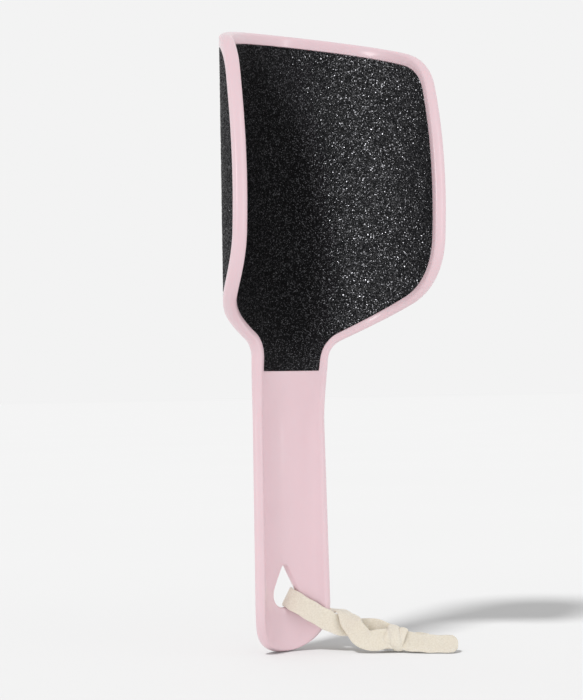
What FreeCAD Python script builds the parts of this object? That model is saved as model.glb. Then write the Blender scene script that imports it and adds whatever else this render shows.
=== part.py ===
"""Foot file: a plastic paddle bent into a half pipe, with abrasive on both faces of its head and a tape
tied through its handle.

Millimetres. Z runs up the file from the lowest point of its handle, X runs across it, and the hollow side
faces -Y.
The paddle is drawn flat, as an outline in arc length and height, and then wrapped on to its bent middle
surface: a half pipe at the head, a tighter trough at the handle and a smooth blend between them.
"""
import FreeCAD, Part
import math
import os

V = FreeCAD.Vector

# Bent middle surface
head_bend = 47.0            # radius of the head's half pipe
handle_bend = 19.0          # radius of the handle's trough
head_forward = 8.4          # the bottom of the half pipe lies this far in front of that of the trough
blend_foot = 96.0           # heights between which the trough opens into the half pipe
blend_head = 142.0

# Flat outline
length = 260.0              # end of the handle to the middle of the top edge
foot_radius = 20.6          # the handle ends in a half circle
handle_taper = 0.94         # degrees by which each side of the handle leans in
neck_radius = 8.0
shoulder_start = 120.0      # height at which the shoulder lines would meet on the middle line
shoulder_slope = 25.0       # degrees above level
shoulder_radius = 32.0
head_half_width = 73.8      # along the bend, at the widest height
widest_height = 189.5
side_bow = 204.0            # radius of the bowed sides
top_bow = 178.0            # radius of the crowned top edge
corner_radius = 20.5        # upper corners

# Thickness and edges
handle_thickness = 4.0
rim_thickness = 5.4
edge_crown = 0.5            # of half the thickness, by which the rounded edges stand out past the faces

# Rim round the abrasive, on both faces
side_rim = 3.5
top_rim = 5.1
shoulder_rim = 3.5
sheet_foot = 118.5          # height of the sheets' straight lower edge

# Abrasive sheets and the films that hold them
film_thickness = 0.15
sheet_thickness = 0.75
sheet_depth = 0.2           # the abrasive lies this far below the rim
sheet_clearance = 0.15      # round a sheet in its recess
layer_gap = 0.05            # between recess, film and sheet

# Hang hole, a teardrop in the handle
hole_radius = 5.7
hole_height = 24.4          # of the round part's centre
hole_tip = 35.3             # height of the narrow end's centre
hole_tip_radius = 1.0
hole_edge_round = 1.0

# Tape
tape_width = 8.2
tape_thickness = 0.8
knot_length = 8.8           # along the tape
knot_width = 10.8           # across it
run_share = 0.45            # of the shorter run beside a bend that its arc takes up

# Samples: along a flat edge, and between the sections of the bent plate
edge_step = 3.0
row_points = 7
tape_steps = 4              # sections of the tape per run and per bend
level_step = 7.0
margin = 1.0                # by which cutters pass the faces that they cut

film_depth = sheet_depth + sheet_thickness + layer_gap
recess_depth = film_depth + film_thickness + layer_gap


def smooth_step(z, low, high):
    """0 below the low height, 1 above the high one, and smooth between."""
    m = min(max((z - low) / (high - low), 0.0), 1.0)
    return m * m * (3 - 2 * m)


def blend(z):
    """0 on the handle, 1 on the head."""
    return smooth_step(z, blend_foot, blend_head)


def bend_radius(z):
    m = blend(z)
    return 1 / ((1 - m) / handle_bend + m / head_bend)


def bend_centre(z):
    """Y of the bend's axis at a height."""
    return -head_forward * blend(z) - bend_radius(z)


def half_thickness(z):
    return (handle_thickness + (rim_thickness - handle_thickness) * blend(z)) / 2


def wrap(flat, offset):
    """The place of a flat point, offset from the middle surface towards the back."""
    radius = bend_radius(flat.z)
    turn = flat.x / radius
    reach = radius + offset
    return V(reach * math.sin(turn), bend_centre(flat.z) + reach * math.cos(turn), flat.z)


def flat_direction(degrees):
    return V(math.cos(math.radians(degrees)), 0, math.sin(math.radians(degrees)))


def heading(vector):
    return math.degrees(math.atan2(vector.z, vector.x))


def arc(centre, radius, start, end):
    """Arc of the flat outline between two headings in degrees."""
    points = [centre + flat_direction(start + (end - start) * share) * radius for share in (0, 0.5, 1)]
    return Part.Arc(*points).toShape()


def line(start, end):
    return Part.LineSegment(start, end).toShape()


def where_lines_meet(normal_a, reach_a, normal_b, reach_b):
    """The flat point at a given reach along each of two normals."""
    det = normal_a.x * normal_b.z - normal_a.z * normal_b.x
    x = (reach_a * normal_b.z - reach_b * normal_a.z) / det
    z = (normal_a.x * reach_b - normal_b.x * reach_a) / det
    return V(x, 0, z)


def half_outline(side=0.0, top=0.0, shoulder=0.0, foot=None):
    """Right half of the outline, moved in by rim widths: the edges from the foot to the middle of the top.

    With a foot height, the outline is cut level there. Without one, it has the round end of the handle.
    """
    side_normal = flat_direction(handle_taper)
    side_reach = foot_radius * (1 + side_normal.z) - shoulder
    slope_normal = flat_direction(shoulder_slope + 90)
    slope_reach = slope_normal.z * shoulder_start + shoulder
    neck = neck_radius + shoulder
    neck_centre = where_lines_meet(side_normal, side_reach + neck, slope_normal, slope_reach - neck)

    bow_centre = V(head_half_width - side_bow, 0, widest_height)
    bow = side_bow - side
    crown_centre = V(0, 0, length - top_bow)
    crown = top_bow - top
    low = shoulder_radius - (side + shoulder) / 2
    high = corner_radius - (side + top) / 2

    # lower corner: touches the shoulder line and the bowed side
    along = flat_direction(shoulder_slope)
    base = slope_normal * (slope_reach + low)
    shift = (base - bow_centre).dot(along)
    rest = (base - bow_centre).dot(base - bow_centre) - (bow - low) ** 2
    low_centre = base + along * (math.sqrt(shift * shift - rest) - shift)

    # upper corner: touches the bowed side and the crowned top
    gap = crown_centre - bow_centre
    share = ((bow - high) ** 2 - (crown - high) ** 2 + gap.dot(gap)) / (2 * gap.Length)
    rise = math.sqrt((bow - high) ** 2 - share ** 2)
    across = V(-gap.z, 0, gap.x) / gap.Length
    if across.z < 0:
        across = across * -1
    high_centre = bow_centre + gap / gap.Length * share + across * rise

    side_low = heading(low_centre - bow_centre)
    side_high = heading(high_centre - bow_centre)
    top_end = heading(high_centre - crown_centre)

    neck_start = neck_centre - side_normal * neck
    neck_end = neck_centre + slope_normal * neck
    if foot is None:
        foot_centre = V(0, 0, foot_radius)
        start = foot_centre + side_normal * foot_radius
        edges = [arc(foot_centre, foot_radius, -90, handle_taper)]
    else:
        start = V((side_reach - side_normal.z * foot) / side_normal.x, 0, foot)
        edges = [line(V(0, 0, foot), start)]
    edges.append(line(start, neck_start))
    edges.append(arc(neck_centre, neck, handle_taper + 180, shoulder_slope + 90))
    edges.append(line(neck_end, low_centre - slope_normal * low))
    edges.append(arc(low_centre, low, shoulder_slope - 90, side_low))
    edges.append(arc(bow_centre, bow, side_low, side_high))
    edges.append(arc(high_centre, high, side_high, top_end))
    edges.append(arc(crown_centre, crown, top_end, 90))
    return edges


def inward(edge, point, ahead):
    """Direction in the flat outline, square to an edge and towards the middle of the head."""
    tangent = edge.Curve.tangent(edge.Curve.parameter(point))[0]
    if tangent.dot(ahead) < 0:
        tangent = tangent * -1
    return V(-tangent.z, 0, tangent.x)


def wall_rows(edge, inner, outer, crown):
    """Rows of points of a cutting surface along a flat edge.

    Each row crosses the plate. It is straight, or an arc that lies a crown further in at both faces.
    """
    count = max(5, int(edge.Length / edge_step) + 1)
    points = edge.discretize(Number=count)
    steps = [b - a for a, b in zip(points, points[1:])]
    steps.append(steps[-1])
    rows = []
    for point, ahead in zip(points, steps):
        normal = inward(edge, point, ahead)
        middle = (inner(point.z) + outer(point.z)) / 2
        half = (outer(point.z) - inner(point.z)) / 2
        row = []
        for i in range(row_points):
            share = 2 * i / (row_points - 1) - 1
            depth = share * (half + margin)
            inset = 0
            if crown:
                arc_radius = half * (1 + crown * crown) / (2 * crown)
                depth = share * (half + arc_radius) / 2
                inset = arc_radius - math.sqrt(arc_radius ** 2 - depth ** 2)
            row.append(wrap(point + normal * inset, middle + depth))
        rows.append(row)
    return rows


def wall(rows):
    surface = Part.BSplineSurface()
    surface.interpolate(rows)
    return surface.toShape()


def walls_along(edges, inner, outer, crown):
    """Cutting surfaces along half an outline: one per edge if straight, one in all if crowned."""
    sets = [wall_rows(edge, inner, outer, crown) for edge in edges]
    if not crown:
        return [wall(rows) for rows in sets]
    joined = sets[0]
    for rows in sets[1:]:
        joined = joined + rows[1:]
    return [wall(joined)]


def bent_band(inner, outer, low, high, reach):
    """Solid between two offsets of the middle surface, wider than any outline cut from it."""
    count = int((high - low) / level_step) + 2
    sections = []
    for i in range(count):
        z = low + (high - low) * i / (count - 1)
        half = reach(z)
        a = [wrap(V(s, 0, z), inner(z)) for s in (-half, 0, half)]
        b = [wrap(V(s, 0, z), outer(z)) for s in (half, 0, -half)]
        edges = [Part.Arc(*a).toShape(), line(a[2], b[0]), Part.Arc(*b).toShape(), line(b[2], a[0])]
        sections.append(Part.Wire(edges))
    return Part.makeLoft(sections, True, False)


def band_reach(z):
    """Half width of a band along the bend: a little past the outline."""
    narrow = foot_radius + 6.0
    return narrow + (head_half_width + 6.0 - narrow) * smooth_step(z, blend_foot + 16.0, blend_head + 16.0)


def bent_plate(edges, inner, outer, low, high, crown=0.0):
    """The part of a band inside a flat outline, with its edge faces square to the bend."""
    band = bent_band(inner, outer, low - 4.0, high + 4.0, band_reach)
    right = walls_along(edges, inner, outer, crown)
    walls = right + [face.mirror(V(0, 0, 0), V(1, 0, 0)) for face in right]
    pieces = band.generalFuse(walls)[0].Solids
    middle_height = (low + high) / 2
    middle = wrap(V(0, 0, middle_height), (inner(middle_height) + outer(middle_height)) / 2)
    return [piece for piece in pieces if piece.isInside(middle, 1e-3, True)][0]


def front_level(depth):
    """Offset of a level that lies a depth below the front face."""
    return lambda z: depth - half_thickness(z)


def back_level(depth):
    return lambda z: half_thickness(z) - depth


def teardrop(grow, y):
    """Outline of the hang hole, made larger all round, in the plane at y."""
    radius = hole_radius + grow
    tip_radius = hole_tip_radius + grow
    rise = hole_tip - hole_height
    lean = math.degrees(math.asin((radius - tip_radius) / rise))
    ends = []
    for centre, size in ((hole_height, radius), (hole_tip, tip_radius)):
        side = flat_direction(lean) * size
        ends.append((V(side.x, y, centre + side.z), V(-side.x, y, centre + side.z), centre, size))
    (right, left, low, low_size), (tip_right, tip_left, high, high_size) = ends
    edges = [
        Part.Arc(left, V(0, y, low - low_size), right).toShape(),
        line(right, tip_right),
        Part.Arc(tip_right, V(0, y, high + high_size), tip_left).toShape(),
        line(tip_left, left),
    ]
    return Part.Wire(edges)


def hang_hole():
    """Cutter that flares towards both faces, so that the hole's edges are rounded over."""
    sections = []
    for i in range(-2, 3):
        grow = hole_edge_round * i * i / 1.5
        sections.append(teardrop(grow, i * handle_thickness / 2))
    return Part.makeLoft(sections, True, False)


def make_paddle():
    paddle = bent_plate(half_outline(), front_level(0), back_level(0), 0.0, length, edge_crown)
    recess = half_outline(side_rim, top_rim, shoulder_rim, sheet_foot)
    high = length - top_rim
    paddle = paddle.cut(bent_plate(recess, front_level(-margin), front_level(recess_depth), sheet_foot, high))
    paddle = paddle.cut(bent_plate(recess, back_level(recess_depth), back_level(-margin), sheet_foot, high))
    return paddle.cut(hang_hole())


def make_layer(level, near, far):
    """Sheet or film inside a recess, between two depths below the rim."""
    edges = half_outline(side_rim + sheet_clearance, top_rim + sheet_clearance, shoulder_rim + sheet_clearance,
                         sheet_foot + sheet_clearance)
    inner, outer = (level(near), level(far)) if level is front_level else (level(far), level(near))
    return bent_plate(edges, inner, outer, sheet_foot, length - top_rim)


def route(points):
    """Straight runs joined by tangent arcs, each as large as its two runs allow."""
    edges = []
    radii = []
    at = points[0]
    for before, corner, after in zip(points, points[1:], points[2:]):
        back = before - corner
        on = after - corner
        turn = math.pi - back.getAngle(on)
        trim = run_share * min(back.Length, on.Length)
        radius = trim / math.tan(turn / 2)
        radii.append(radius)
        start = corner + back / back.Length * trim
        end = corner + on / on.Length * trim
        bisector = (back / back.Length + on / on.Length).normalize()
        centre = corner + bisector * (radius / math.cos(turn / 2))
        middle = centre - bisector * radius
        edges.append(line(at, start))
        edges.append(Part.Arc(start, middle, end).toShape())
        at = end
    edges.append(line(at, points[-1]))
    print("route", round(sum(e.Length for e in edges), 1), "mm, radii", [round(r, 1) for r in radii])
    return Part.Wire(edges)


def tape(stations):
    """Flat tape along a route. Each station is a point and the way that the tape's width lies there."""
    points = [point for point, across in stations]
    path = route(points)
    edges = path.Edges
    marks = [0.0]
    run = 0.0
    for i, edge in enumerate(edges):
        if i % 2:
            marks.append(run + edge.Length / 2)
        run += edge.Length
    marks.append(run)
    sections = []
    run = 0.0
    for i, edge in enumerate(edges):
        for k in range(tape_steps + (i == len(edges) - 1)):
            length_along = edge.Length * k / tape_steps
            u = edge.getParameterByLength(length_along)
            sections.append(tape_section(edge.valueAt(u), edge.tangentAt(u), run + length_along, marks, stations))
        run += edge.Length
    shape = Part.makeLoft(sections, True, True)
    print("tape volume", round(shape.Volume, 1), "of", round(run * tape_width * tape_thickness, 1))
    return shape


def tape_section(at, ahead, run, marks, stations):
    """Cross-section of the tape, its width turned evenly from one station to the next."""
    i = max(k for k in range(len(marks) - 1) if marks[k] <= run + 1e-6)
    share = (run - marks[i]) / (marks[i + 1] - marks[i])
    across = stations[i][1] * (1 - share) + stations[i + 1][1] * share
    wide = (across - ahead * across.dot(ahead)).normalize()
    thick = ahead.cross(wide)
    corners = [at + wide * (a * tape_width / 2) + thick * (b * tape_thickness / 2)
               for a, b in ((-1, -1), (1, -1), (1, 1), (-1, 1), (-1, -1))]
    return Part.makePolygon(corners)


# The tape's route, from the knot over the front of the handle, through the hole and round the back
loop_stations = [
    (V(36.6, -27.9, 6.8), V(0.20, 0.10, 1.00)),
    (V(31.8, -20.8, 10.2), V(0.10, 0.20, 1.00)),
    (V(23.6, -16.0, 9.2), V(0.22, 0.75, 0.62)),
    (V(15.7, -13.1, 12.1), V(0.38, 0.00, 0.90)),
    (V(1.8, -3.9, 22.2), V(0.52, 0.00, 0.85)),
    (V(2.8, 3.5, 23.4), V(0.46, 0.00, 0.89)),
    (V(9.2, 3.2, 19.0), V(0.45, 0.05, 0.90)),
    (V(21.8, -2.0, 15.2), V(0.76, 0.62, 0.15)),
    (V(23.4, -12.4, 16.7), V(0.95, 0.30, -0.14)),
    (V(21.2, -20.4, 11.8), V(0.74, -0.36, 0.56)),
    (V(24.4, -25.6, 4.7), V(0.64, -0.36, 0.68)),
    (V(33.0, -29.8, 6.3), V(0.30, 0.10, 0.95)),
    (V(38.0, -31.2, 5.4), V(0.30, 0.30, 0.90)),
]
long_tail_stations = [
    (V(38.0, -31.2, 5.4), V(0.30, 0.30, 0.90)),
    (V(45.5, -38.6, 3.7), V(0.30, 0.55, 0.74)),
    (V(57.0, -46.4, 3.6), V(0.30, 0.55, 0.74)),
]
short_tail_stations = [
    (V(37.4, -28.6, 5.2), V(0.30, 0.50, 0.80)),
    (V(43.6, -32.6, 4.2), V(0.30, 0.50, 0.80)),
    (V(50.0, -37.0, 3.9), V(0.30, 0.50, 0.80)),
]
knot_centre = V(36.9, -29.1, 5.9)
knot_along = V(0.74, -0.66, -0.12)


def make_knot():
    """Rounded lump, longer across the tape than along it."""
    half = knot_length / 2
    ball = Part.makeSphere(half)
    stretch = FreeCAD.Matrix()
    stretch.scale(1, 1, knot_width / knot_length)
    ball = ball.transformGeometry(stretch)
    ball.rotate(V(0, 0, 0), V(0, 0, 1), math.degrees(math.atan2(knot_along.y, knot_along.x)))
    ball.translate(knot_centre)
    return ball


knot = make_knot()
nodes = {
    "paddle": make_paddle(),
    "front_adhesive_film": make_layer(front_level, film_depth, film_depth + film_thickness),
    "front_abrasive_sheet": make_layer(front_level, sheet_depth, sheet_depth + sheet_thickness),
    "back_adhesive_film": make_layer(back_level, film_depth, film_depth + film_thickness),
    "back_abrasive_sheet": make_layer(back_level, sheet_depth, sheet_depth + sheet_thickness),
    "tape_loop": tape(loop_stations).cut(knot),
    "tape_knot": knot,
    "tape_tail_long": tape(long_tail_stations).cut(knot),
    "tape_tail_short": tape(short_tail_stations).cut(knot),
}

os.makedirs("parts", exist_ok=True)
for name, shape in nodes.items():
    solids = shape.Solids
    biggest = max(solids, key=lambda solid: solid.Volume)
    box = biggest.optimalBoundingBox(True, False)
    print(name, "solids", len(solids), "valid", biggest.isValid(), "volume", round(biggest.Volume, 1),
          "x", round(box.XMin, 2), round(box.XMax, 2), "y", round(box.YMin, 2), round(box.YMax, 2),
          "z", round(box.ZMin, 2), round(box.ZMax, 2))
    biggest.exportStep(f"parts/{name}.step")
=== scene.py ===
"""Looks of a foot file: a pink plastic paddle with a half-pipe head, black abrasive on both faces of the head
and a cream cotton tape knotted through the hole in its handle.

The shapes are worked out in millimetres, in the frame of the CAD model: Z up from the lowest point of the
handle, the hollow side towards -Y. They are turned into metres when a mesh is made.
"""
import math

import bmesh
import bpy
import numpy as np
from mathutils import Matrix, Vector
from mathutils.geometry import delaunay_2d_cdt


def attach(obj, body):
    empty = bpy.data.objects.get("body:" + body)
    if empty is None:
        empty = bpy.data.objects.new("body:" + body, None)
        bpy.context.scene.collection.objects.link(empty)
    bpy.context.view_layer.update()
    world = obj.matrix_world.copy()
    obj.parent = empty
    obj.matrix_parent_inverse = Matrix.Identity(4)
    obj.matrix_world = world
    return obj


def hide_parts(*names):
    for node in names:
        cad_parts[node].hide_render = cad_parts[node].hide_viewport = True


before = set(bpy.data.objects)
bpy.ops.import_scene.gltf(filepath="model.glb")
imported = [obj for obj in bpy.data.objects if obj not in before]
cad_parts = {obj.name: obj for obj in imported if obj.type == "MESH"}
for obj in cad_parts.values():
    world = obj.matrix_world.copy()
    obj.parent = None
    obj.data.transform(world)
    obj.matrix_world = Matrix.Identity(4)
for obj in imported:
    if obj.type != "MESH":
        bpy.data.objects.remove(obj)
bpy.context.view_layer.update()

MM = 0.001

# Bent middle surface of the paddle
HEAD_BEND = 47.0
HANDLE_BEND = 19.0
HEAD_FORWARD = 8.4
BLEND_FOOT = 96.0
BLEND_HEAD = 142.0

# Flat outline: arc length across, height up
LENGTH = 260.0
FOOT_RADIUS = 20.6
HANDLE_TAPER = 0.94
NECK_RADIUS = 8.0
SHOULDER_START = 120.0
SHOULDER_SLOPE = 25.0
SHOULDER_RADIUS = 32.0
HEAD_HALF_WIDTH = 73.8
WIDEST_HEIGHT = 189.5
SIDE_BOW = 204.0
TOP_BOW = 178.0
CORNER_RADIUS = 20.5

# Thickness, edges and the recesses for the abrasive
HANDLE_THICKNESS = 4.0
RIM_THICKNESS = 5.4
EDGE_SHARE = 0.62           # of half the thickness, by which the round edges stand out past the faces
SIDE_RIM = 3.5
TOP_RIM = 5.1
SHOULDER_RIM = 3.5
SHEET_FOOT = 118.5
SHEET_DEPTH = 0.2
SHEET_THICKNESS = 0.75
SHEET_CLEARANCE = 0.15
RECESS_DEPTH = 1.2
RECESS_EDGE = 0.3           # bevel round a recess

# Hang hole
HOLE_RADIUS = 5.7
HOLE_HEIGHT = 24.4
HOLE_TIP = 35.3
HOLE_TIP_RADIUS = 1.0
HOLE_EDGE = 1.0

# Grains of the abrasive
FLAT_SHARE = 0.62           # of the points carry no grain
GRAIN_RISE = (0.10, 0.24)
FLAT_RISE = (-0.06, 0.06)
GRIT_SINK = 0.05            # of the whole face, and again at its border
GRAIN_SHIFT = 0.32          # sideways, in steps of the split mesh

# Tape
TAPE_WIDTH = 8.5
TAPE_THICKNESS = 0.8
END_LENGTH = 4.5            # over which a cut end is rounded
EDGE_THINNING = 0.75        # share of the thickness that is lost at the edges
CUP = (0.32, 41.0)          # height of a wave, and its length along the tape
RIPPLE = (0.16, 13.0)
EDGE_WAVE = (0.12, 7.5)
WEAVE = (0.035, 0.95)
UV_SCALE = 0.1              # of the weave's coordinates, from millimetres
THREAD_PERIOD = 0.055       # in those coordinates
WAVE_PERIOD = 0.314         # of Blender's wave texture at scale 1

# Mesh steps
OUTLINE_STEP = 1.2
FACE_STEP = 2.0
HIDDEN_STEP = 4.0           # on faces that other pieces cover
GRIT_STEP = 1.75            # before the triangles are split
GRIT_SPLITS = 2
BORDER_CLEARANCE = 0.6      # of inner points from a border, in steps
EDGE_RINGS = 14
HOLE_RINGS = 8
HOLE_ROUND_POINTS = 40
HOLE_SIDE_POINTS = 14
HOLE_TIP_POINTS = 12
TAPE_STEP = 0.28
TAPE_COLUMNS = 29


def smooth_step(z, low, high):
    m = np.clip((z - low) / (high - low), 0.0, 1.0)
    return m * m * (3 - 2 * m)


def blend(z):
    """0 on the handle, 1 on the head."""
    return smooth_step(z, BLEND_FOOT, BLEND_HEAD)


def bend_radius(z):
    m = blend(z)
    return 1 / ((1 - m) / HANDLE_BEND + m / HEAD_BEND)


def half_thickness(z):
    return (HANDLE_THICKNESS + (RIM_THICKNESS - HANDLE_THICKNESS) * blend(z)) / 2


def wrap(flat, offset):
    """Places of flat points, offset from the middle surface towards the back."""
    z = flat[:, 1]
    radius = bend_radius(z)
    turn = flat[:, 0] / radius
    reach = radius + offset
    centre = -HEAD_FORWARD * blend(z) - radius
    return np.column_stack([reach * np.sin(turn), centre + reach * np.cos(turn), z])


def direction(degrees):
    return np.array([math.cos(math.radians(degrees)), math.sin(math.radians(degrees))])


def heading(vector):
    return math.degrees(math.atan2(vector[1], vector[0]))


def arc(centre, radius, start, end, step):
    count = max(3, math.ceil(abs(math.radians(end - start)) * radius / step))
    return np.array([centre + radius * direction(a) for a in np.linspace(start, end, count + 1)])


def line(start, end, step):
    count = max(1, math.ceil(np.linalg.norm(end - start) / step))
    return np.linspace(start, end, count + 1)


def where_lines_meet(normal_a, reach_a, normal_b, reach_b):
    return np.linalg.solve(np.array([normal_a, normal_b]), np.array([reach_a, reach_b]))


def half_outline(step, side=0.0, top=0.0, shoulder=0.0, foot=None):
    """Right half of the flat outline, moved in by rim widths, from the foot to the middle of the top."""
    side_normal = direction(HANDLE_TAPER)
    side_reach = FOOT_RADIUS * (1 + side_normal[1]) - shoulder
    slope_normal = direction(SHOULDER_SLOPE + 90)
    slope_reach = slope_normal[1] * SHOULDER_START + shoulder
    neck = NECK_RADIUS + shoulder
    neck_centre = where_lines_meet(side_normal, side_reach + neck, slope_normal, slope_reach - neck)

    bow_centre = np.array([HEAD_HALF_WIDTH - SIDE_BOW, WIDEST_HEIGHT])
    bow = SIDE_BOW - side
    crown_centre = np.array([0.0, LENGTH - TOP_BOW])
    crown = TOP_BOW - top
    low = SHOULDER_RADIUS - (side + shoulder) / 2
    high = CORNER_RADIUS - (side + top) / 2

    along = direction(SHOULDER_SLOPE)
    base = slope_normal * (slope_reach + low)
    shift = (base - bow_centre) @ along
    rest = (base - bow_centre) @ (base - bow_centre) - (bow - low) ** 2
    low_centre = base + along * (math.sqrt(shift * shift - rest) - shift)

    gap = crown_centre - bow_centre
    gap_length = np.linalg.norm(gap)
    share = ((bow - high) ** 2 - (crown - high) ** 2 + gap_length ** 2) / (2 * gap_length)
    rise = math.sqrt((bow - high) ** 2 - share ** 2)
    across = np.array([-gap[1], gap[0]]) / gap_length
    if across[1] < 0:
        across = -across
    high_centre = bow_centre + gap / gap_length * share + across * rise

    side_low = heading(low_centre - bow_centre)
    side_high = heading(high_centre - bow_centre)
    top_end = heading(high_centre - crown_centre)
    neck_start = neck_centre - side_normal * neck
    neck_end = neck_centre + slope_normal * neck
    if foot is None:
        foot_centre = np.array([0.0, FOOT_RADIUS])
        start = foot_centre + side_normal * FOOT_RADIUS
        runs = [arc(foot_centre, FOOT_RADIUS, -90, HANDLE_TAPER, step)]
    else:
        start = np.array([(side_reach - side_normal[1] * foot) / side_normal[0], foot])
        runs = [line(np.array([0.0, foot]), start, step)]
    runs.append(line(start, neck_start, step))
    runs.append(arc(neck_centre, neck, HANDLE_TAPER + 180, SHOULDER_SLOPE + 90, step))
    runs.append(line(neck_end, low_centre - slope_normal * low, step))
    runs.append(arc(low_centre, low, SHOULDER_SLOPE - 90, side_low, step))
    runs.append(arc(bow_centre, bow, side_low, side_high, step))
    runs.append(arc(high_centre, high, side_high, top_end, step))
    runs.append(arc(crown_centre, crown, top_end, 90, step))
    return np.concatenate([runs[0]] + [run[1:] for run in runs[1:]])


def closed_outline(step, *rims):
    """Whole outline, counter-clockwise, with its first point at the foot."""
    right = half_outline(step, *rims)
    return np.concatenate([right, right[-2:0:-1] * [-1, 1]])


def inward(loop):
    """Unit normals of a counter-clockwise loop, towards its inside."""
    ahead = np.roll(loop, -1, 0) - np.roll(loop, 1, 0)
    ahead /= np.linalg.norm(ahead, axis=1)[:, None]
    return np.column_stack([-ahead[:, 1], ahead[:, 0]])


def teardrop(grow):
    """Outline of the hang hole in x and z, made larger all round."""
    radius = HOLE_RADIUS + grow
    tip = HOLE_TIP_RADIUS + grow
    lean = math.degrees(math.asin((HOLE_RADIUS - HOLE_TIP_RADIUS) / (HOLE_TIP - HOLE_HEIGHT)))
    low = np.array([0.0, HOLE_HEIGHT])
    high = np.array([0.0, HOLE_TIP])
    runs = [
        np.array([low + radius * direction(a) for a in np.linspace(-180 - lean, lean, HOLE_ROUND_POINTS)]),
        np.linspace(low + radius * direction(lean), high + tip * direction(lean), HOLE_SIDE_POINTS)[1:],
        np.array([high + tip * direction(a) for a in np.linspace(lean, 180 - lean, HOLE_TIP_POINTS)])[1:],
        np.linspace(high + tip * direction(180 - lean), low + radius * direction(180 - lean),
                    HOLE_SIDE_POINTS)[1:-1],
    ]
    return np.concatenate(runs)


def flatten_hole(loop, offset):
    """Flat points of a loop given in x and z, on the surface at an offset."""
    radius = bend_radius(loop[:, 1])
    return np.column_stack([radius * np.arcsin(loop[:, 0] / (radius + offset)), loop[:, 1]])


def inside(points, loop):
    """Which points lie inside a loop."""
    x, y = points[:, 0][:, None], points[:, 1][:, None]
    ax, ay = loop[:, 0][None], loop[:, 1][None]
    after = np.roll(loop, -1, 0)
    bx, by = after[:, 0][None], after[:, 1][None]
    crosses = (ay > y) != (by > y)
    with np.errstate(divide="ignore", invalid="ignore"):
        at = ax + (y - ay) / (by - ay) * (bx - ax)
    return (np.sum(crosses & (x < at), axis=1) % 2).astype(bool)


def lattice(loops, spacing):
    """Points of a triangular lattice inside the first loop, outside the others and clear of them all."""
    low, high = loops[0].min(0), loops[0].max(0)
    row = spacing * math.sqrt(3) / 2
    points = []
    for i, z in enumerate(np.arange(low[1], high[1], row)):
        x = np.arange(low[0] + (i % 2) * spacing / 2, high[0], spacing)
        points.append(np.column_stack([x, np.full_like(x, z)]))
    points = np.concatenate(points)
    keep = inside(points, loops[0])
    for loop in loops[1:]:
        keep &= ~inside(points, loop)
    points = points[keep]
    border = np.concatenate(loops)
    nearest = np.concatenate([
        np.min(np.linalg.norm(part[:, None] - border[None], axis=2), axis=1)
        for part in np.array_split(points, max(1, len(points) // 500))])
    return points[nearest > BORDER_CLEARANCE * spacing]


def fill(loops, spacing):
    """Flat points and triangles that fill the first loop, with the others as holes."""
    points = np.concatenate(loops + [lattice(loops, spacing)])
    edges = []
    start = 0
    for loop in loops:
        count = len(loop)
        edges += [(start + i, start + (i + 1) % count) for i in range(count)]
        start += count
    result = delaunay_2d_cdt([Vector(p) for p in points.tolist()], edges, [], 0, 1e-6)
    flat = np.array([list(p) for p in result[0]])
    triangles = np.array([list(f) for f in result[2]])
    middle = flat[triangles].mean(1)
    keep = inside(middle, loops[0])
    for loop in loops[1:]:
        keep &= ~inside(middle, loop)
    return flat, triangles[keep]


def sides_of(triangles):
    """First, second and third sides of all triangles, each with its lower point first."""
    sides = np.concatenate([triangles[:, [0, 1]], triangles[:, [1, 2]], triangles[:, [2, 0]]])
    return np.sort(sides, axis=1)


def split(points, triangles):
    """Each triangle becomes four."""
    unique, where = np.unique(sides_of(triangles), axis=0, return_inverse=True)
    ab, bc, ca = where.reshape(3, -1) + len(points)
    a, b, c = triangles.T
    parts = [(a, ab, ca), (ab, b, bc), (ca, bc, c), (ab, bc, ca)]
    finer = np.concatenate([np.column_stack(part) for part in parts])
    return np.concatenate([points, points[unique].mean(1)]), finer


def strip(count, start_a, start_b):
    """Quads between two closed rings of as many points each."""
    i = np.arange(count)
    j = (i + 1) % count
    return np.column_stack([start_a + i, start_a + j, start_b + j, start_b + i])


class Patches:
    """Collects points in millimetres and faces, and makes one welded mesh of them."""

    def __init__(self):
        self.points = []
        self.faces = []
        self.count = 0

    def add(self, points, faces):
        self.points.append(points)
        self.faces += (np.asarray(faces) + self.count).tolist()
        self.count += len(points)

    def add_rings(self, rings):
        points = np.concatenate(rings)
        n = len(rings[0])
        faces = np.concatenate([strip(n, i * n, (i + 1) * n) for i in range(len(rings) - 1)])
        self.add(points, faces)

    def make(self, name, smooth=True):
        mesh = bpy.data.meshes.new(name)
        mesh.from_pydata((np.concatenate(self.points) * MM).tolist(), [], self.faces)
        piece = bpy.data.objects.new(name, mesh)
        bpy.context.scene.collection.objects.link(piece)
        weld(mesh)
        mesh.polygons.foreach_set("use_smooth", np.full(len(mesh.polygons), smooth))
        return piece


def weld(mesh):
    work = bmesh.new()
    work.from_mesh(mesh)
    bmesh.ops.remove_doubles(work, verts=work.verts, dist=1e-6)
    bmesh.ops.recalc_face_normals(work, faces=work.faces)
    work.to_mesh(mesh)
    work.free()
    mesh.update()


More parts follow.
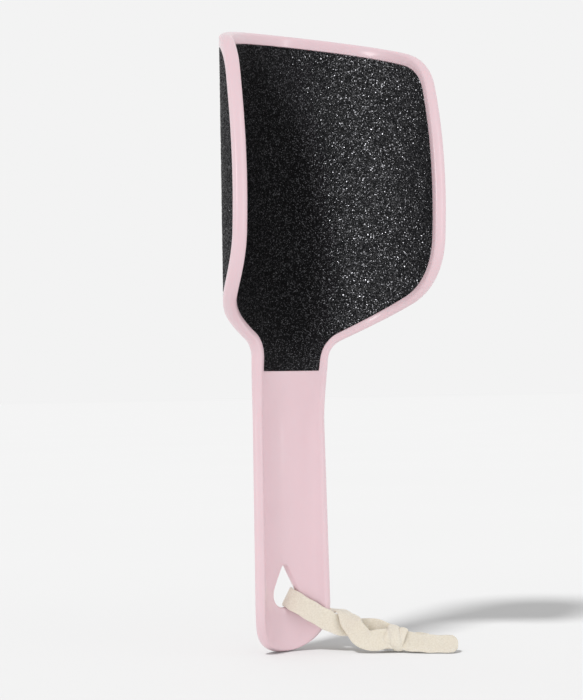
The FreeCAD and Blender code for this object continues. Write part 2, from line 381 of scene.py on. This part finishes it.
def make_paddle():
    """The moulding: round edges, both faces, the two recesses and the hang hole."""
    patches = Patches()
    loop = closed_outline(OUTLINE_STEP)
    normal = inward(loop)
    half = half_thickness(loop[:, 1])
    rings = []
    for angle in np.linspace(-90, 90, EDGE_RINGS + 1):
        out, up = direction(angle)
        flat = loop + normal * (EDGE_SHARE * half * (1 - out))[:, None]
        rings.append((flat, wrap(flat, half_thickness(flat[:, 1]) * up)))
    patches.add_rings([ring for _, ring in rings])

    hole_rings = []
    for angle in np.linspace(-90, 90, HOLE_RINGS + 1):
        out, up = direction(angle)
        offset = HANDLE_THICKNESS / 2 * up
        flat = flatten_hole(teardrop(HOLE_EDGE * (1 - out)), offset)
        hole_rings.append((flat, wrap(flat, offset)))
    patches.add_rings([ring for _, ring in hole_rings])

    for sign, edge, hole in ((-1, rings[0][0], hole_rings[0][0]), (1, rings[-1][0], hole_rings[-1][0])):
        recess_rings = []
        for inset, depth in ((-RECESS_EDGE, 0.0), (-RECESS_EDGE * 0.3, RECESS_EDGE * 0.25),
                             (0.0, RECESS_EDGE), (0.0, RECESS_DEPTH)):
            flat = closed_outline(OUTLINE_STEP, SIDE_RIM, TOP_RIM, SHOULDER_RIM, SHEET_FOOT)
            flat = flat + inward(flat) * inset
            recess_rings.append((flat, wrap(flat, sign * (half_thickness(flat[:, 1]) - depth))))
        patches.add_rings([ring for _, ring in recess_rings])
        flat, triangles = fill([edge, recess_rings[0][0], hole], FACE_STEP)
        patches.add(wrap(flat, sign * half_thickness(flat[:, 1])), triangles)
        flat, triangles = fill([recess_rings[-1][0]], HIDDEN_STEP)
        patches.add(wrap(flat, sign * (half_thickness(flat[:, 1]) - RECESS_DEPTH)), triangles)
    return patches.make("paddle_shell")


def make_sheet(name, sign, seed):
    """Abrasive sheet: a closed slab whose outer face is broken up into sharp grains."""
    random = np.random.default_rng(seed)
    rims = (SIDE_RIM + SHEET_CLEARANCE, TOP_RIM + SHEET_CLEARANCE, SHOULDER_RIM + SHEET_CLEARANCE,
            SHEET_FOOT + SHEET_CLEARANCE)
    loop = closed_outline(GRIT_STEP, *rims)
    flat, triangles = fill([loop], GRIT_STEP)
    for _ in range(GRIT_SPLITS):
        flat, triangles = split(flat, triangles)
    unique, uses = np.unique(sides_of(triangles), axis=0, return_counts=True)
    border = unique[uses == 1]
    on_border = np.zeros(len(flat), bool)
    on_border[border.ravel()] = True
    spread = GRIT_STEP / 2 ** GRIT_SPLITS
    flat = flat + ~on_border[:, None] * random.uniform(-GRAIN_SHIFT, GRAIN_SHIFT, flat.shape) * spread
    grain = random.random(len(flat))
    grain_rise = random.uniform(*GRAIN_RISE, len(flat))
    flat_rise = random.uniform(*FLAT_RISE, len(flat))
    height = np.where(grain > FLAT_SHARE, grain_rise, flat_rise)
    height[on_border] = -GRIT_SINK
    top = half_thickness(flat[:, 1]) - SHEET_DEPTH + height - GRIT_SINK
    patches = Patches()
    patches.add(wrap(flat, sign * top), triangles)

    under_points = np.unique(border.ravel())
    place = {p: i for i, p in enumerate(under_points)}
    bottom_flat = flat[under_points]
    bottom = half_thickness(bottom_flat[:, 1]) - SHEET_DEPTH - SHEET_THICKNESS
    n = len(under_points)
    skirt = np.concatenate([wrap(bottom_flat, sign * top[under_points]), wrap(bottom_flat, sign * bottom)])
    patches.add(skirt, [(place[a], place[b], n + place[b], n + place[a]) for a, b in border.tolist()])
    order = walk(border, under_points[0])
    base, base_triangles = fill([flat[order]], HIDDEN_STEP)
    depth = half_thickness(base[:, 1]) - SHEET_DEPTH - SHEET_THICKNESS
    patches.add(wrap(base, sign * depth), base_triangles)
    return patches.make(name, smooth=False)


def walk(border, start):
    """The border's points in order round the loop."""
    beside = {}
    for a, b in border.tolist():
        beside.setdefault(a, []).append(b)
        beside.setdefault(b, []).append(a)
    order = [int(start)]
    before, at = None, int(start)
    while True:
        ahead = [p for p in beside[at] if p != before][0]
        if ahead == order[0]:
            return order
        order.append(ahead)
        before, at = at, ahead


# The tape: points of its route, and the way that its width lies at each
CORD_STATIONS = [
    ((36.6, -27.9, 6.8), (0.20, 0.10, 1.00)),
    ((31.8, -20.8, 10.2), (0.10, 0.20, 1.00)),
    ((23.6, -16.0, 9.2), (0.22, 0.75, 0.62)),
    ((15.7, -13.1, 12.1), (0.38, 0.00, 0.90)),
    ((1.8, -3.9, 22.2), (0.52, 0.00, 0.85)),
    ((2.8, 3.5, 23.4), (0.46, 0.00, 0.89)),
    ((9.2, 3.2, 19.0), (0.45, 0.05, 0.90)),
    ((21.8, -2.0, 15.2), (0.76, 0.62, 0.15)),
    ((23.4, -12.4, 16.7), (0.95, 0.30, -0.14)),
    ((21.2, -20.4, 11.8), (0.74, -0.36, 0.56)),
    ((24.4, -25.6, 4.7), (0.64, -0.36, 0.68)),
    ((33.0, -29.8, 6.3), (0.30, 0.10, 0.95)),
    ((38.0, -31.2, 5.4), (0.30, 0.30, 0.90)),
    ((45.5, -38.6, 3.7), (0.30, 0.55, 0.74)),
    ((57.0, -46.4, 3.6), (0.30, 0.55, 0.74)),
]
TAIL_STATIONS = [
    ((37.4, -28.6, 5.2), (0.30, 0.50, 0.80)),
    ((43.6, -32.6, 4.2), (0.30, 0.50, 0.80)),
    ((50.0, -37.0, 3.9), (0.30, 0.50, 0.80)),
]
KNOT_CENTRE = np.array([36.9, -29.1, 5.9])
KNOT_ALONG = np.array([0.74, -0.66, -0.12])
# place along the knot, tilt, radius across, radius up and half width of each band
KNOT_BANDS = ((-2.0, 24, 3.4, 4.2, 2.3), (0.6, -30, 3.7, 4.5, 2.5), (2.6, 16, 3.0, 3.9, 1.9))
BAND_REACH = 2.6            # from the axis, where the tilt is taken
BAND_HALF_THICKNESS = 0.85
BAND_FOLD = 0.16            # depth of its creases
BAND_POINTS = 72            # round the knot
BAND_SECTION_POINTS = 20


def spline_points(stations, name):
    """Points along the smooth line whose control points are the stations, in millimetres."""
    curve = bpy.data.curves.new(name, "CURVE")
    curve.dimensions = "3D"
    curve.resolution_u = 32
    spline = curve.splines.new("NURBS")
    spline.points.add(len(stations) - 1)
    for point, (place, _) in zip(spline.points, stations):
        point.co = (place[0] * MM, place[1] * MM, place[2] * MM, 1.0)
    spline.order_u = 3
    spline.use_endpoint_u = True
    holder = bpy.data.objects.new(name, curve)
    bpy.context.scene.collection.objects.link(holder)
    bpy.context.view_layer.update()
    mesh = bpy.data.meshes.new_from_object(holder)
    points = np.array([list(v.co) for v in mesh.vertices]) / MM
    bpy.data.objects.remove(holder)
    bpy.data.curves.remove(curve)
    bpy.data.meshes.remove(mesh)
    return points


def unit_rows(rows):
    return rows / np.linalg.norm(rows, axis=1)[:, None]


def ribbon_line(stations, name):
    """Even points along the tape's line: the length run, the place and the directions ahead and across.

    The points of the line itself come last.
    """
    points = spline_points(stations, name)
    last = len(stations) - 2
    share = np.linspace(0, last, len(points))
    knots = np.concatenate([[0], np.arange(len(stations) - 2) + 0.5, [last]])
    across = unit_rows(np.array([a for _, a in stations]))
    run = np.concatenate([[0], np.cumsum(np.linalg.norm(np.diff(points, axis=0), axis=1))])
    even = np.linspace(0, run[-1], int(run[-1] / TAPE_STEP) + 1)
    at_share = np.interp(even, run, share)
    line_points = np.column_stack([np.interp(even, run, points[:, k]) for k in range(3)])
    wide = np.column_stack([np.interp(at_share, knots, across[:, k]) for k in range(3)])
    ahead = unit_rows(np.gradient(line_points, axis=0))
    wide = unit_rows(wide - ahead * np.sum(wide * ahead, axis=1)[:, None])
    return even, line_points, ahead, wide, points


def sine(run, size, period, phase=0.0):
    """A wave along the tape."""
    return size * np.sin(run * 2 * math.pi / period + phase)


def make_tape(name, stations, seed, round_end):
    """Woven tape along its line: thin, with soft edges, a slight cup and waves, and a round end."""
    random = np.random.default_rng(seed)
    run, centre, ahead, wide, route = ribbon_line(stations, name + "_line")
    thick = np.cross(ahead, wide)
    v = np.linspace(-1, 1, TAPE_COLUMNS)
    phases = random.uniform(0, 2 * math.pi, 4)
    cup = sine(run, *CUP, phases[0])[:, None] * (v[None] ** 2 - 0.3)
    ripple = sine(run, *RIPPLE, phases[1])[:, None] * np.sin(v * 2.2 + phases[2])[None]
    edge_wave = sine(run, *EDGE_WAVE, phases[3])
    weave = sine(run, *WEAVE)[:, None] * np.sin(v * math.pi * 9)[None]
    half = TAPE_THICKNESS / 2 * (1 - EDGE_THINNING * np.abs(v) ** 10)
    width = (TAPE_WIDTH / 2 + edge_wave)[:, None] * v[None]
    end = smooth_step(run, run[-1] - END_LENGTH, run[-1]) * round_end
    slide = -end[:, None] * np.abs(v[None]) ** 3
    middle = (centre[:, None] + wide[:, None] * width[..., None] + ahead[:, None] * slide[..., None]
              + thick[:, None] * (cup + ripple)[..., None])
    top = middle + thick[:, None] * (half[None] + weave)[..., None]
    under = middle - thick[:, None] * (half[None] - weave)[..., None]
    rows = len(run)
    section = np.concatenate([top, under[:, ::-1]], axis=1)
    around = 2 * TAPE_COLUMNS
    faces = []
    for i in range(rows - 1):
        for j in range(around):
            k = (j + 1) % around
            faces.append((i * around + j, i * around + k, (i + 1) * around + k, (i + 1) * around + j))
    for first in (0, (rows - 1) * around):
        for j in range(TAPE_COLUMNS - 1):
            across = around - 1 - j
            faces.append((first + j, first + j + 1, first + across - 1, first + across))
    mesh = bpy.data.meshes.new(name)
    mesh.from_pydata((section.reshape(-1, 3) * MM).tolist(), [], faces)
    uv = mesh.uv_layers.new(name="UVMap")
    u_of = np.repeat(run, around)
    v_of = np.tile(np.concatenate([v, v[::-1]]) * TAPE_WIDTH / 2, rows)
    loops = np.zeros(len(mesh.loops), int)
    mesh.loops.foreach_get("vertex_index", loops)
    uv.data.foreach_set("uv", np.column_stack([u_of[loops], v_of[loops]]).ravel() * UV_SCALE)
    weld(mesh)
    mesh.polygons.foreach_set("use_smooth", np.ones(len(mesh.polygons), bool))
    piece = bpy.data.objects.new(name, mesh)
    bpy.context.scene.collection.objects.link(piece)
    return piece, route


def make_knot():
    """Three creased bands of tape, wound across each other, in place of a true overhand knot."""
    axis = KNOT_ALONG / np.linalg.norm(KNOT_ALONG)
    up = np.array([0.0, 0.0, 1.0])
    side = np.cross(up, axis)
    side /= np.linalg.norm(side)
    up = np.cross(axis, side)
    patches = Patches()
    for shift, tilt, across, tall, half in KNOT_BANDS:
        rows = []
        lean = math.tan(math.radians(tilt))
        for a in np.linspace(0, 360, BAND_POINTS + 1)[:-1]:
            c, s = direction(a)
            centre = KNOT_CENTRE + side * across * c + up * tall * s + axis * (shift + lean * BAND_REACH * s)
            out = side * c + up * s
            ring = []
            for b in np.linspace(0, 360, BAND_SECTION_POINTS + 1)[:-1]:
                cb, sb = direction(b)
                fold = BAND_FOLD * math.cos(3 * math.radians(b) + 0.9)
                reach = abs(cb) ** 0.6 * math.copysign(1, cb)
                ring.append(centre + axis * half * reach + out * (sb * (BAND_HALF_THICKNESS + fold)))
            rows.append(np.array(ring))
        rows.append(rows[0])
        patches.add_rings(rows)
    return patches.make("tape_knot_wraps")


# Materials

def new_material(name):
    material = bpy.data.materials.new(name)
    material.use_nodes = True
    nodes = material.node_tree.nodes
    return material, nodes, material.node_tree.links, nodes["Principled BSDF"]


def place_of(nodes):
    return nodes.new("ShaderNodeTexCoord").outputs["Object"]


def noise(nodes, links, where, scale, detail):
    node = nodes.new("ShaderNodeTexNoise")
    node.inputs["Scale"].default_value = scale
    node.inputs["Detail"].default_value = detail
    links.new(where, node.inputs["Vector"])
    return node.outputs["Fac"]


def ramp(nodes, links, factor, *stops):
    node = nodes.new("ShaderNodeValToRGB")
    elements = node.color_ramp.elements
    while len(elements) < len(stops):
        elements.new(0.5)
    for element, (position, colour) in zip(elements, stops):
        element.position = position
        element.color = (*colour, 1.0)
    links.new(factor, node.inputs["Fac"])
    return node.outputs["Color"]


def remap(nodes, links, factor, low, high, start=0.0, end=1.0):
    node = nodes.new("ShaderNodeMapRange")
    node.inputs["From Min"].default_value = start
    node.inputs["From Max"].default_value = end
    node.inputs["To Min"].default_value = low
    node.inputs["To Max"].default_value = high
    links.new(factor, node.inputs["Value"])
    return node.outputs["Result"]


def bump(nodes, links, height, strength, distance, shader):
    node = nodes.new("ShaderNodeBump")
    node.inputs["Strength"].default_value = strength
    node.inputs["Distance"].default_value = distance
    links.new(height, node.inputs["Height"])
    links.new(node.outputs["Normal"], shader.inputs["Normal"])


def linear(*srgb):
    """Linear colour of a light sRGB one given in 0 to 255."""
    return tuple(((c / 255 + 0.055) / 1.055) ** 2.4 for c in srgb)


def pink_plastic():
    material, nodes, links, shader = new_material("pink_plastic")
    where = place_of(nodes)
    cloud = noise(nodes, links, where, 45.0, 3.0)
    links.new(ramp(nodes, links, cloud, (0.25, (0.765, 0.562, 0.604)), (0.75, (0.795, 0.592, 0.634))),
              shader.inputs["Base Color"])
    smudge = noise(nodes, links, where, 900.0, 2.0)
    links.new(remap(nodes, links, smudge, 0.36, 0.46), shader.inputs["Roughness"])
    bump(nodes, links, noise(nodes, links, where, 2600.0, 2.0), 0.12, 0.00006, shader)
    shader.inputs["Coat Weight"].default_value = 0.55
    shader.inputs["Coat Roughness"].default_value = 0.16
    shader.inputs["Subsurface Weight"].default_value = 0.12
    shader.inputs["Subsurface Radius"].default_value = (1.0, 0.55, 0.55)
    shader.inputs["Subsurface Scale"].default_value = 0.002
    return material


def black_grit():
    """Dull black grains with some bright facets among them."""
    material, nodes, links, shader = new_material("black_grit")
    cells = nodes.new("ShaderNodeTexVoronoi")
    cells.inputs["Scale"].default_value = 2900.0
    links.new(place_of(nodes), cells.inputs["Vector"])
    value = nodes.new("ShaderNodeSeparateColor")
    links.new(cells.outputs["Color"], value.inputs["Color"])
    dull = ramp(nodes, links, value.outputs["Red"],
                (0.0, (0.0020, 0.0020, 0.0023)), (0.6, (0.0030, 0.0030, 0.0034)),
                (0.9, (0.0065, 0.0065, 0.0072)), (1.0, (0.014, 0.014, 0.015)))
    facet = remap(nodes, links, value.outputs["Green"], 0.0, 1.0, 0.84, 0.91)
    # the colours of a Mix node are its inputs 6 and 7, and its output 2
    mix = nodes.new("ShaderNodeMix")
    mix.data_type = "RGBA"
    links.new(facet, mix.inputs["Factor"])
    links.new(dull, mix.inputs[6])
    mix.inputs[7].default_value = (0.085, 0.085, 0.090, 1.0)
    links.new(mix.outputs[2], shader.inputs["Base Color"])
    links.new(facet, shader.inputs["Metallic"])
    links.new(remap(nodes, links, value.outputs["Blue"], 0.28, 0.46), shader.inputs["Roughness"])
    shader.inputs["Specular IOR Level"].default_value = 0.05
    bump(nodes, links, value.outputs["Blue"], 0.35, 0.00010, shader)
    return material


def film():
    material, nodes, links, shader = new_material("adhesive_film")
    cloud = noise(nodes, links, place_of(nodes), 120.0, 4.0)
    links.new(ramp(nodes, links, cloud, (0.3, linear(206, 196, 170)), (0.7, linear(220, 212, 190))),
              shader.inputs["Base Color"])
    links.new(remap(nodes, links, cloud, 0.3, 0.5), shader.inputs["Roughness"])
    return material


def cotton(name, uses_uv):
    material, nodes, links, shader = new_material(name)
    where = place_of(nodes)
    fibre = noise(nodes, links, where, 1500.0, 4.0)
    links.new(ramp(nodes, links, fibre, (0.25, linear(223, 214, 197)), (0.75, linear(237, 230, 216))),
              shader.inputs["Base Color"])
    shader.inputs["Roughness"].default_value = 0.85
    shader.inputs["Sheen Weight"].default_value = 0.25
    shader.inputs["Sheen Roughness"].default_value = 0.5
    shader.inputs["Subsurface Weight"].default_value = 0.15
    shader.inputs["Subsurface Radius"].default_value = (1.0, 0.9, 0.7)
    shader.inputs["Subsurface Scale"].default_value = 0.0012
    height = fibre
    if uses_uv:
        uv = nodes.new("ShaderNodeTexCoord").outputs["UV"]
        threads = []
        for axis in ("X", "Y"):
            wave = nodes.new("ShaderNodeTexWave")
            wave.bands_direction = axis
            wave.inputs["Scale"].default_value = WAVE_PERIOD / THREAD_PERIOD
            wave.inputs["Distortion"].default_value = 0.4
            links.new(uv, wave.inputs["Vector"])
            threads.append(wave.outputs["Fac"])
        join = nodes.new("ShaderNodeMath")
        join.operation = "MAXIMUM"
        links.new(threads[0], join.inputs[0])
        links.new(threads[1], join.inputs[1])
        height = join.outputs["Value"]
    bump(nodes, links, height, 0.5, 0.00012, shader)
    return material


def dress(piece, material):
    piece.data.materials.clear()
    piece.data.materials.append(material)


# Pieces

pink = pink_plastic()
grit = black_grit()
sticky = film()

paddle = make_paddle()
dress(paddle, pink)
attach(paddle, "root")
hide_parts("paddle")

sheets = []
for name, sign, seed in (("front_abrasive", -1, 11), ("back_abrasive", 1, 23)):
    sheet = make_sheet(name + "_grit", sign, seed)
    sheets.append(sheet)
    dress(sheet, grit)
    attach(sheet, "root")
    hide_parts(name + "_sheet")

for node in ("front_adhesive_film", "back_adhesive_film"):
    dress(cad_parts[node], sticky)

tape, tape_line = make_tape("tape", CORD_STATIONS, 5, round_end=2.4)
dress(tape, cotton("cotton_tape", True))
tail, _ = make_tape("tape_tail", TAIL_STATIONS, 8, round_end=1.2)
dress(tail, cotton("cotton_tail", True))
knot = make_knot()
dress(knot, cotton("cotton_knot", False))
for piece in (tape, tail, knot):
    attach(piece, "root")
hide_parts("tape_loop", "tape_tail_long")
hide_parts("tape_tail_short")
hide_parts("tape_knot")


# Floor, light and camera

def make_floor():
    mesh = bpy.data.meshes.new("floor")
    reach = 40.0
    corners = [(-reach, -reach, 0), (reach, -reach, 0), (reach, reach, 0), (-reach, reach, 0)]
    mesh.from_pydata(corners, [], [(0, 1, 2, 3)])
    floor = bpy.data.objects.new("floor", mesh)
    bpy.context.scene.collection.objects.link(floor)
    material, nodes, links, shader = new_material("pale_floor")
    cloud = noise(nodes, links, place_of(nodes), 3.0, 2.0)
    links.new(ramp(nodes, links, cloud, (0.3, (0.526, 0.526, 0.526)), (0.7, (0.530, 0.530, 0.530))),
              shader.inputs["Base Color"])
    shader.inputs["Roughness"].default_value = 0.9
    shader.inputs["Specular IOR Level"].default_value = 0.0
    dress(floor, material)
    return floor


def sun(name, towards, energy, angle):
    lamp = bpy.data.lights.new(name, "SUN")
    lamp.energy = energy
    lamp.angle = math.radians(angle)
    holder = bpy.data.objects.new(name, lamp)
    bpy.context.scene.collection.objects.link(holder)
    holder.rotation_euler = Vector(towards).to_track_quat("-Z", "Y").to_euler()
    return holder


def strip_light(name, place, aim, width, height, power):
    lamp = bpy.data.lights.new(name, "AREA")
    lamp.shape = "RECTANGLE"
    lamp.size = width
    lamp.size_y = height
    lamp.energy = power
    holder = bpy.data.objects.new(name, lamp)
    bpy.context.scene.collection.objects.link(holder)
    holder.location = place
    holder.rotation_euler = (Vector(aim) - Vector(place)).to_track_quat("-Z", "Y").to_euler()
    return holder


def only_for(lamp, name, pieces):
    """The lamp lights these pieces alone; everything still casts its shadow."""
    lit = bpy.data.collections.new(name)
    for piece in pieces:
        lit.objects.link(piece)
    lamp.light_linking.receiver_collection = lit


def make_light(floor, pale_pieces, grit_sheets):
    """White surroundings, a weak key and a sheen strip for the pale pieces, a lamp for the grit and one for
    the floor."""
    world = bpy.data.worlds.new("studio")
    world.use_nodes = True
    background = world.node_tree.nodes["Background"]
    background.inputs["Color"].default_value = (0.896, 0.896, 0.896, 1.0)
    background.inputs["Strength"].default_value = 1.0
    bpy.context.scene.world = world
    key = sun("key", towards=(0.80, 0.45, -0.15), energy=0.46, angle=14.0)
    only_for(key, "key_pieces", pale_pieces)
    sheen = strip_light("sheen", place=(0.57, -0.94, 0.36), aim=(0.0, 0.0, 0.18), width=0.05, height=0.60,
                        power=1.0)
    only_for(sheen, "sheen_pieces", pale_pieces)
    grit_lamp = sun("grit_lamp", towards=(0.78, 0.50, -0.38), energy=8.2, angle=12.0)
    only_for(grit_lamp, "grit_only", grit_sheets)
    floor_lamp = sun("floor_lamp", towards=(0.540, 0.275, -0.795), energy=3.25, angle=8.0)
    only_for(floor_lamp, "floor_only", [floor])


CAMERA_TURN = 30.529        # degrees round from the front, towards -X
CAMERA_DISTANCE = 0.700
CAMERA_HEIGHT = 0.1082
AIM = Vector((0.0, -HEAD_FORWARD * MM, 0.130))
CAMERA_ROLL = 0.97          # degrees
FOCAL_LENGTH = 85.56
SENSOR_WIDTH = 36.0
SHIFT_ACROSS = 0.00387
SHIFT_UP = -0.00916


def make_camera():
    data = bpy.data.cameras.new("camera")
    data.sensor_width = SENSOR_WIDTH
    data.sensor_fit = "AUTO"
    data.lens = FOCAL_LENGTH
    data.shift_x = SHIFT_ACROSS
    data.shift_y = SHIFT_UP
    camera = bpy.data.objects.new("camera", data)
    bpy.context.scene.collection.objects.link(camera)
    turn = math.radians(CAMERA_TURN)
    camera.location = (AIM.x - math.sin(turn) * CAMERA_DISTANCE,
                       AIM.y - math.cos(turn) * CAMERA_DISTANCE,
                       CAMERA_HEIGHT)
    look = (AIM - camera.location).to_track_quat("-Z", "Y").to_matrix()
    camera.rotation_euler = (look @ Matrix.Rotation(math.radians(-CAMERA_ROLL), 3, "Z")).to_euler()
    bpy.context.scene.camera = camera


make_light(make_floor(), [paddle, tape, tail, knot], sheets)
make_camera()
bpy.context.scene.view_settings.view_transform = "Standard"
